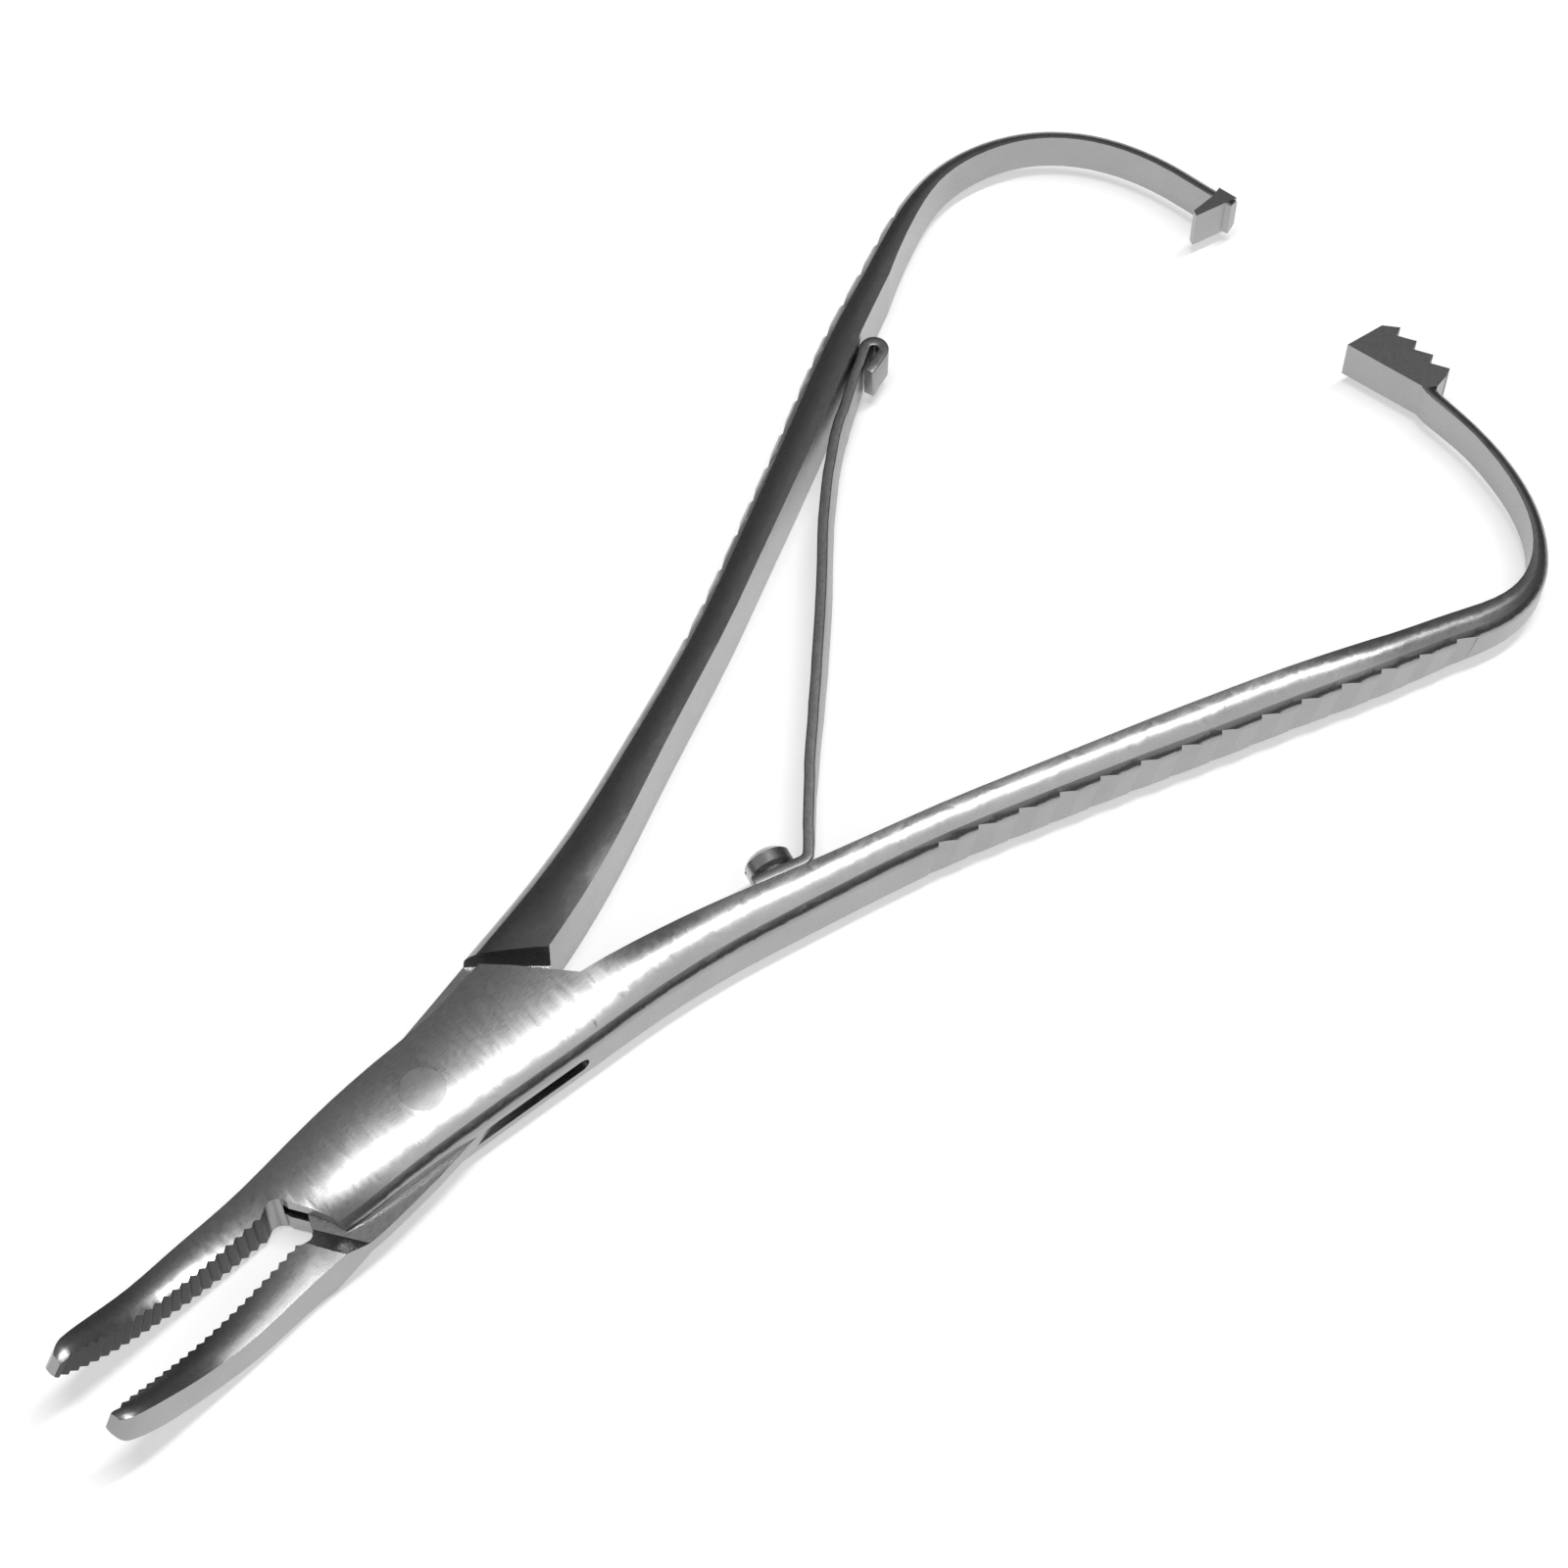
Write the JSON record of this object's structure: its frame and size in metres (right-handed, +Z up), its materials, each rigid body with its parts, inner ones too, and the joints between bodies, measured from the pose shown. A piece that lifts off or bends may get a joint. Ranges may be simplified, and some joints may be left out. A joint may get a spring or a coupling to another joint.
{
  "type": "surgical needle holder",
  "caption": "Box-lock needle holder with curved toothed jaws, grooved bow handles, inward hooks with ratchet and claw, and a leaf spring.",
  "frame": {"origin": "on the pivot's axis at the table the instrument lies on", "axes": "+Z up along the pivot pin, +Y from the box to the hooks, +X to the box arm's handle"},
  "size_m": [0.0651, 0.1415, 0.0082],
  "materials": {
    "arm_steel": "satin polished stainless steel",
    "pin_steel": "satin polished stainless steel, ground flush",
    "spring_steel": "grey spring steel",
    "screw_steel": "turned stainless steel"
  },
  "bodies": {
    "outer": {"box_arm": "arm_steel", "pivot_pin": "pin_steel", "leaf_spring": "spring_steel", "spring_screw": "screw_steel"},
    "inner": {"waist_arm": "arm_steel"}
  },
  "joints": [
    {"name": "box_lock", "type": "hinge", "parent": "outer", "child": "inner", "pos_m": [0, 0, 0.0035], "axis": [0, 0, 1], "range_deg": [-9.2, 0], "deforming": ["leaf_spring"]}
  ]
}
